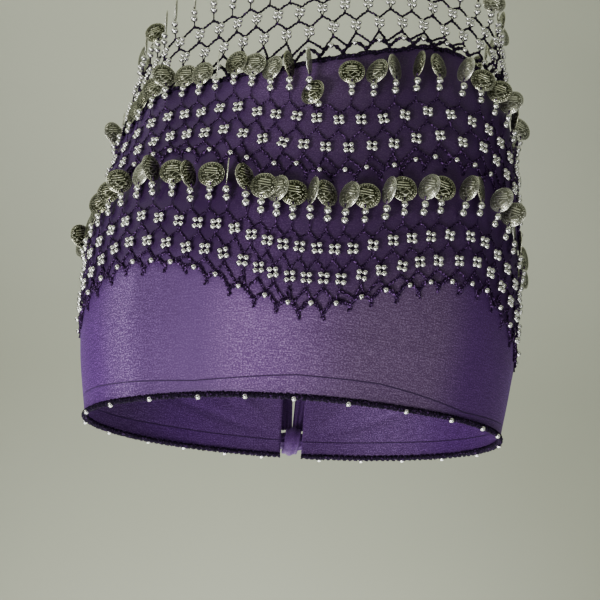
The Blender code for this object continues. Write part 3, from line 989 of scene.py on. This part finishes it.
def discs_cross(a, b):
    """Whether two thin discs, each (centre, normal), pass through one another."""
    line = a[1].cross(b[1])
    if line.length < 0.02:
        return (b[0] - a[0]).length < 2 * COIN_RADIUS and abs((b[0] - a[0]).dot(a[1])) < COIN_THICK
    line.normalize()
    chords = []
    for (centre, normal), (other, facing) in ((a, b), (b, a)):
        inward = line.cross(normal)
        reach = (other - centre).dot(facing) / inward.dot(facing)
        if abs(reach) >= COIN_RADIUS:
            return False
        half = sqrt(COIN_RADIUS**2 - reach**2)
        middle = (centre + inward * reach).dot(line)
        chords.append((middle - half, middle + half))
    return chords[0][0] < chords[1][1] and chords[1][0] < chords[0][1]


def settled(across, hang, lift, facing, down, hung):
    """(hole, centre, lift) of a coin, once it clears the cloth and the coins hung before it."""
    out = outward(across, hang)
    under = on_cloth(across, hang + COIN_RADIUS - HOLE_IN)
    inward = COIN_RADIUS * sqrt(max(1 - facing.dot(out) ** 2, 0))
    for _ in range(MOST_LIFTS):
        hole = on_cloth(across, hang, lift)
        centre = hole + down * (COIN_RADIUS - HOLE_IN)
        nearest = (centre - under).dot(out) - inward
        crossing = any(discs_cross((centre, facing), other) for other in hung[-3:])
        if nearest > COIN_CLEAR and not crossing:
            break
        lift += LIFT_STEP
    return hole, centre, lift


def hang_coins(name, net, starts, turns, wear_and_shine, caught, node):
    """The bead pairs and coins of a net. turns gives some coins' facing, in degrees round from
    -Y towards +X; the others hang nearly flat on the cloth. The next argument gives how pale some
    coins are painted, for the light they reflect, and caught how far its two beads and its coin's
    hole lie from their places, each as (columns, millimetres down), where a thread is caught up in
    the net."""
    chance = Random(name + "_coins")
    bm = bmesh.new()
    strands, beads, hung = [], [], []
    for k, start in enumerate(starts):
        pair = line_drop(net, 1.0, column_place(net, k + 0.5)) + chance.gauss(0, 0.9) * MM
        spots = [
            (column_place(net, k + 0.5 + aside), pair + nominal + lower * MM)
            for nominal, (aside, lower) in zip(
                (-PAIR_APART / 2, PAIR_APART / 2, PAIR_TO_HOLE), caught.get(k, [(0, 0)] * 3)
            )
        ]
        across, hang = spots[2]
        out = outward(across, hang)
        flat = degrees(atan2(out.x, -out.y))
        pressed = k in caught or (min(across, 1 - across) < TAILS_WIDE and hang < TAILS_LOW)
        spread = PRESSED_SPREAD if pressed else FREE_SPREAD
        turn = turns.get(k, flat + chance.gauss(0, spread))
        facing = Vector((sin(radians(turn)), -cos(radians(turn)), 0))
        if facing.dot(out) < LEAST_OUTWARD:
            facing = (facing + out * (2 * LEAST_OUTWARD - facing.dot(out))).normalized()
        sideways = Vector((0, 0, 1)).cross(facing)
        slant = chance.gauss(0, SLANT_SPREAD) + sideways.dot(out) * SLANT_DOWNHILL
        down = Vector((0, 0, -1)) * cos(slant) + sideways * sin(slant)
        over = OVER_CAUGHT if k - 1 in caught else CLEAR_OF_CLOTH
        lift = PRESSED_FLAT if k in caught else PAIR_BEAD + over
        hole, centre, lift = settled(across, hang, lift, facing, down, hung)
        hung.append((centre, facing))
        right = facing.cross(down)
        place = Matrix((right, -down, facing)).transposed().to_4x4()
        place.translation = centre
        # How pale the coin is painted, for the light it reflects: as listed, else at random.
        pale = wear_and_shine.get(k, chance.random() ** 2 * 0.8)
        coin_mesh.uv_layers["wear_and_shine"].data.foreach_set("uv", [pale, pale] * len(coin_mesh.loops))
        add_copy(bm, coin_mesh, place)
        further = max(lift - PAIR_BEAD, 0)
        thread = [
            on_cloth(*start, CORD_OUT),
            on_cloth(*spots[0], PAIR_BEAD * 0.9 + further * 0.3),
            on_cloth(*spots[1], PAIR_BEAD + further * 0.75),
        ]
        thread[2] = thread[1] + (thread[2] - thread[1]).normalized() * PAIR_APART
        beads += [(thread[1], PAIR_BEAD), (thread[2], PAIR_BEAD)]
        thread += [hole + facing * 0.6 * MM, hole + down * 1.2 * MM]
        strand = [(thread[0], 1.4)]
        for a, b in zip(thread, thread[1:]):
            steps = max(int((b - a).length / CORD_STEP), 1)
            strand += [(a.lerp(b, i / steps), chance.uniform(0.6, 0.95)) for i in range(1, steps + 1)]
        strands.append(strand)
    coins = new_piece(name, bm, antique_coin)
    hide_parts(node)
    return strands, beads


# ---------------- three rows
# A row is one net with its beads and coins. The upper and the middle row lie on the cloth and
# are sewn to it. The lowest hangs free from the hem, in a darker copy of the cotton: painted shade
# for cords seen against the pale room behind.
LOWEST_CORD_RADIUS = 0.80 * MM  # nothing lies behind the lowest net, so it is worked thicker
UPPER_NET = Net(
    64, 54, WORKED_FROM, WORKED_WAVE, 0.0, 0.1375, 11.8 * MM, -1.5 * MM,
    [(18, 0), (22, 2), (24, -2), (27, -5), (29.5, 0.5), (31, -1.5), (36, 0), (39, 2), (40, -1),
     (42, 4), (44.5, 8), (47, 6), (51, 0)],
    [(18, 0), (22, 3.5), (23, 2.5), (24, -2), (25, -5), (30, -5), (31, -2), (36, 0.5), (38, -5.5),
     (39.5, -3), (41, 2.5), (43, 5.5), (45, 6), (50, 0)],
    [(0, 0)],
    [(16, 0), (19.5, 0.2), (23, 0.3), (24.5, 0.7), (29.5, 0.6), (32.5, 0.1), (35.5, -0.6),
     (38.5, -0.7), (41.5, -0.2), (44, 0)],
)
MIDDLE_NET = Net(
    54, 54, 0.1628, 11.8 * MM, 0.0, 0.2350, 6.5 * MM, -2.5 * MM,
    [(17, 0), (19, 3), (20.5, 1), (23.5, -4.5), (24.5, -2.5), (26.5, -1), (27.5, 3), (29.5, -3),
     (30.5, 1), (31, -2.5), (32, 1), (36, 5), (40, 0)],
    [(17, 0), (19, 5), (20, 0), (21.5, 2), (23.5, -4.5), (25.5, -4.5), (27.5, -1.5), (29, -1.5),
     (31, 2), (32, -3), (33, -4.5), (34, -2), (35.5, -3), (39, 0)],
    [(0, 0)],
    [(15.5, 0), (19.5, -0.5), (20.5, -0.3), (22.5, 0), (26.5, -0.1), (29.5, -0.4), (33, -0.6),
     (36.5, -0.8), (40.5, 0)],
)
LOWEST_NET = Net(
    48, 48, HEM_DROP, HEM_WAVE, HEM_TILT, 0.3310, 3.0 * MM, 8.0 * MM,
    [],
    [(14, 0), (16.5, -4), (18.5, -3.5), (21, 1), (23, 0), (25, -3.5), (28, -4), (31, -3), (34, 0)],
    [(12, 0), (14, -6), (16, -7), (18, -2), (20, 0), (27, -3), (29.5, -4), (30.5, -7), (31.5, -15),
     (32.5, -13), (34, -7), (36, 0)],
    [(0, 0)],
)


def make_row(name, net, open_by, stout, radius, finish, nodes, turns, wear_and_shine, caught):
    """One row of net with its beads and coins. nodes are those of its cords, then its coins'."""
    strands, beads, starts = net_parts(net, f"{name}_net", open_by, stout)
    more, pairs = hang_coins(f"{name}_coins", net, starts, turns, wear_and_shine, caught, nodes[-1])
    cords = cord_piece(f"{name}_net_cords", strands + more, radius, finish)
    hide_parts(*nodes[:-1])
    bead_piece(f"{name}_net_beads", beads + pairs)


# The turns of the front's coins, and how pale each is painted for the light it reflects, from
# one column of their net on.
UPPER_TURNS = dict(enumerate([
    30, 50, -62, 64, -10, 45, -8, 66, 2, 48, -38, 68, -3, 40, 12, -50, 83, 6, -80, 5, -55, 42, -15,
    15, 25,
], 20))
UPPER_PAINTED_SHINE = dict(enumerate([
    0.9, 0.5, 0.95, 0.0, 0.45, 0.0, 0.8, 0.1, 0.9, 0.05, 0.55, 0.1, 0.4, 0.0, 0.45, 0.2, 0.0, 0.3,
    0.15, 0.0, 0.1, 0.2, 1.0, 0.1, 0.0, 0.0,
], 19))
MIDDLE_TURNS = dict(enumerate([
    40, 10, -5, 64, -45, 84, -55, 40, 4, 35, -84, -66, 40, 20, 30, 82, 30, 20, -20, 25,
], 17))
MIDDLE_PAINTED_SHINE = dict(enumerate([
    0.6, 0.1, 0.1, 0.95, 0.1, 0.0, 0.4, 0.2, 0.0, 0.0, 0.9, 0.0, 0.5, 0.45, 0.15, 0.9, 0.3, 0.2,
    0.2, 0.1,
], 17))
CAUGHT = {26: [(0.5, -10.5), (0.85, -13.5), (0.95, -19)]}
# The lowest coins' turns, and how pale some are painted for the light they reflect.
LOWEST_TURNS = dict(enumerate([20, -15, 84, 86, 84, 12, 80, 84], 28))
LOWEST_PAINTED_SHINE = {14: 0.0, 15: 0.6, 28: 0.2, 29: 0.3, 31: 0.9, 33: 0.0}
make_row(
    "upper", UPPER_NET, 1.1 * MM, 1.3, CORD_RADIUS, net_cotton, ("net_1", "coins_1"),
    UPPER_TURNS, UPPER_PAINTED_SHINE, {},
)
make_row(
    "middle", MIDDLE_NET, 0.9 * MM, 1.15, CORD_RADIUS, net_cotton, ("net_2", "coins_2"),
    MIDDLE_TURNS, MIDDLE_PAINTED_SHINE, CAUGHT,
)
# The lowest net in the darker copy of the cotton: painted shade.
make_row(
    "lowest", LOWEST_NET, 0.25 * MM, 1.0, LOWEST_CORD_RADIUS, edge_cotton,
    ("net_3_left", "net_3_right", "coins_3"), LOWEST_TURNS, LOWEST_PAINTED_SHINE, {},
)


# ---------------- crocheted hem
# The wrap's lower edge is bound with the same dark crochet, thinner than the top roll, which the
# lowest net hangs from. Each strand: thickness, place above the edge, swing and wave.
HEM_RADIUS, HEM_STEP = 1.55 * MM, 1.3 * MM
HEM_STRANDS = ((1.0, 0.5, 0.5, 0.19), (0.72, -0.2, 0.9, 0.47), (0.6, 1.2, 1.0, 0.61))
chance = Random("hem")
steps = int(CLOTH_LONG / HEM_STEP)
hem_strands = []
for thick, above, swing, wave in HEM_STRANDS:
    strand = []
    for i in range(steps + 1):
        across = i / steps
        stray = swing * (sin(i * wave + above) + 0.6 * sin(i * wave * 2.7)) + chance.gauss(0, 0.2)
        point = on_cloth(across, hem_drop(across) + (stray - above) * MM, (0.4 + 0.3 * above) * MM)
        strand.append((point, thick * chance.uniform(0.75, 1.25)))
    hem_strands.append(strand)
cord_piece("hem_binding", hem_strands, HEM_RADIUS, edge_cotton)


# ---------------- ties, knot, tails
# The cloth's upper corners are gathered into two ties, crossed once in a wrapped knot at the
# back, and their ends hang down in two slanting tails.
KNOT_SIZE = Vector((30, 20, 25)) * MM
KNOT_BODY = Vector((14.8, 8.8, 11.8)) * MM
KNOT_DROP, KNOT_OUT = 16 * MM, 8.8 * MM
BAND_HALF, BAND_OUT, BAND_THICK, BAND_RIB, BAND_STEPS = 6.6 * MM, 8.6 * MM, 2.1 * MM, 0.55 * MM, 40
TIE_REACH, TIE_START_TALL, TIE_END_TALL = 46 * MM, 24 * MM, 11 * MM
TAIL_LENGTH, TAIL_SLANT, TAIL_OUT, TAIL_FLAT_WIDE = 130 * MM, 14 * MM, 9.2 * MM, 0.034
TIE_GRID, TAIL_GRID, GATHERED_COVER = (36, 44), (36, 90), 0.96


def behind(x, drop, out):
    """A point behind the scarf's back, this far from its middle."""
    girth = rings[min(int(drop / LEVEL), LEVELS)][1]
    edge = HALF_OPENING + OPENING_SPREAD * drop
    across = (abs(x) - edge) / (girth - 2 * edge)
    across = across if x < 0 else 1 - across
    return bare_form(across, drop) + outward(across, drop) * (fold_height(across, drop) + out)


gathered_finish = chiffon_finish("gathered_chiffon", False, GATHERED_COVER)
for side, hand in ((-1, "left"), (1, "right")):

    def tie_place(share, down):
        reach = TIE_REACH + (KNOT_SIZE.x / 2 - 2.5 * MM - TIE_REACH) * share
        tall = TIE_START_TALL + (TIE_END_TALL - TIE_START_TALL) * share
        rise = 3 * share**2 - 2 * share**3
        pleat = 1.1 * MM * share**0.7 * sin(down * 2 * pi * 4.5 + side) * (0.4 + 0.6 * share)
        swell = 1.4 * MM * sin(pi * down) * share
        out = 0.5 * MM + (KNOT_OUT - 1.6 * MM) * rise + pleat + swell
        slope = side * 0.8 * MM * sin(share * 5)
        point = behind(side * reach, KNOT_DROP + (down - 0.5) * tall + slope, out)
        return point, (share * 0.034, down * 0.05)

    tie = cloth_sheet(f"tie_{hand}", TIE_GRID, tie_place, gathered_finish, 0.6 * MM, 1)

    def tail_place(share, down):
        wide = (13 + 21 * down) * MM
        x = 0.4 * MM + 3.5 * MM * down + wide * share
        gather = 1.0 * MM * exp(-6 * down) * sin(share * 2 * pi * 4)
        ripple = 1.6 * MM * sin(2 * pi * 1.5 * share + 0.4) * down
        ripple += 0.7 * MM * sin(2 * pi * 3.1 * share + 5 * down) * down
        length = TAIL_LENGTH + TAIL_SLANT * (share - 0.5)
        drop = KNOT_DROP + KNOT_SIZE.z / 2 - 3 * MM + length * down
        out = TAIL_OUT + 1.6 * MM * down + ripple + gather - 2.2 * MM * exp(-10 * down)
        return behind(side * x, drop, out), (share * TAIL_FLAT_WIDE + 0.1 * side, down * 0.135)

    tail = cloth_sheet(f"tail_{hand}", TAIL_GRID, tail_place, gathered_finish, CLOTH_THICK, 1)

bm = bmesh.new()
middle = behind(0.0, KNOT_DROP, KNOT_OUT)
flat = {}
bmesh.ops.create_uvsphere(bm, u_segments=64, v_segments=32, radius=1.0)
for vert in bm.verts:
    x, y, z = vert.co
    turn = atan2(z, y)
    pleat = 1 + 0.055 * sin(turn * 9 + 2.2 * x) * (1 - abs(x) ** 3)
    pinch = 0.62 + 0.20 * abs(x)
    flat[vert] = (x * 0.02, turn * 0.009)
    vert.co = Vector((x, y * pinch * pleat, z * pinch * pleat)) * KNOT_BODY
bmesh.ops.translate(bm, verts=bm.verts, vec=middle)
body = set(bm.verts)
# The wrap over the crossing: a flattened, pleated band, spun round and joined into a ring.
profile = []
for i in range(BAND_STEPS):
    turn = 2 * pi * i / BAND_STEPS
    rib = BAND_RIB * sin(5 * turn) if sin(turn) > 0 else 0.0
    height = BAND_OUT + BAND_THICK * sin(turn) + rib
    profile.append(bm.verts.new((BAND_HALF * cos(turn), 0, height)))
edges = [bm.edges.new((a, b)) for a, b in zip(profile, profile[1:] + profile[:1])]
bmesh.ops.spin(
    bm,
    geom=profile + edges,
    cent=(0, 0, 0),
    axis=(1, 0, 0),
    angle=2 * pi,
    steps=56,
    use_merge=True,
)
band = [vert for vert in bm.verts if vert not in body]
bmesh.ops.remove_doubles(bm, verts=band, dist=0.00001)
band = [vert for vert in bm.verts if vert not in body]
for vert in band:
    turn = atan2(vert.co.z, vert.co.y)
    flat[vert] = (vert.co.x * 1.2, turn * 0.011)
    vert.co.x += 1.6 * MM * sin(turn + 0.6)
    vert.co.y *= 0.88
    vert.co.z *= 1.14
bmesh.ops.translate(bm, verts=band, vec=middle)
bmesh.ops.recalc_face_normals(bm, faces=bm.faces)
lay_flat(bm, "cloth", flat.get)
knot = new_piece("knot_wraps", bm, gathered_finish)
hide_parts("knot")
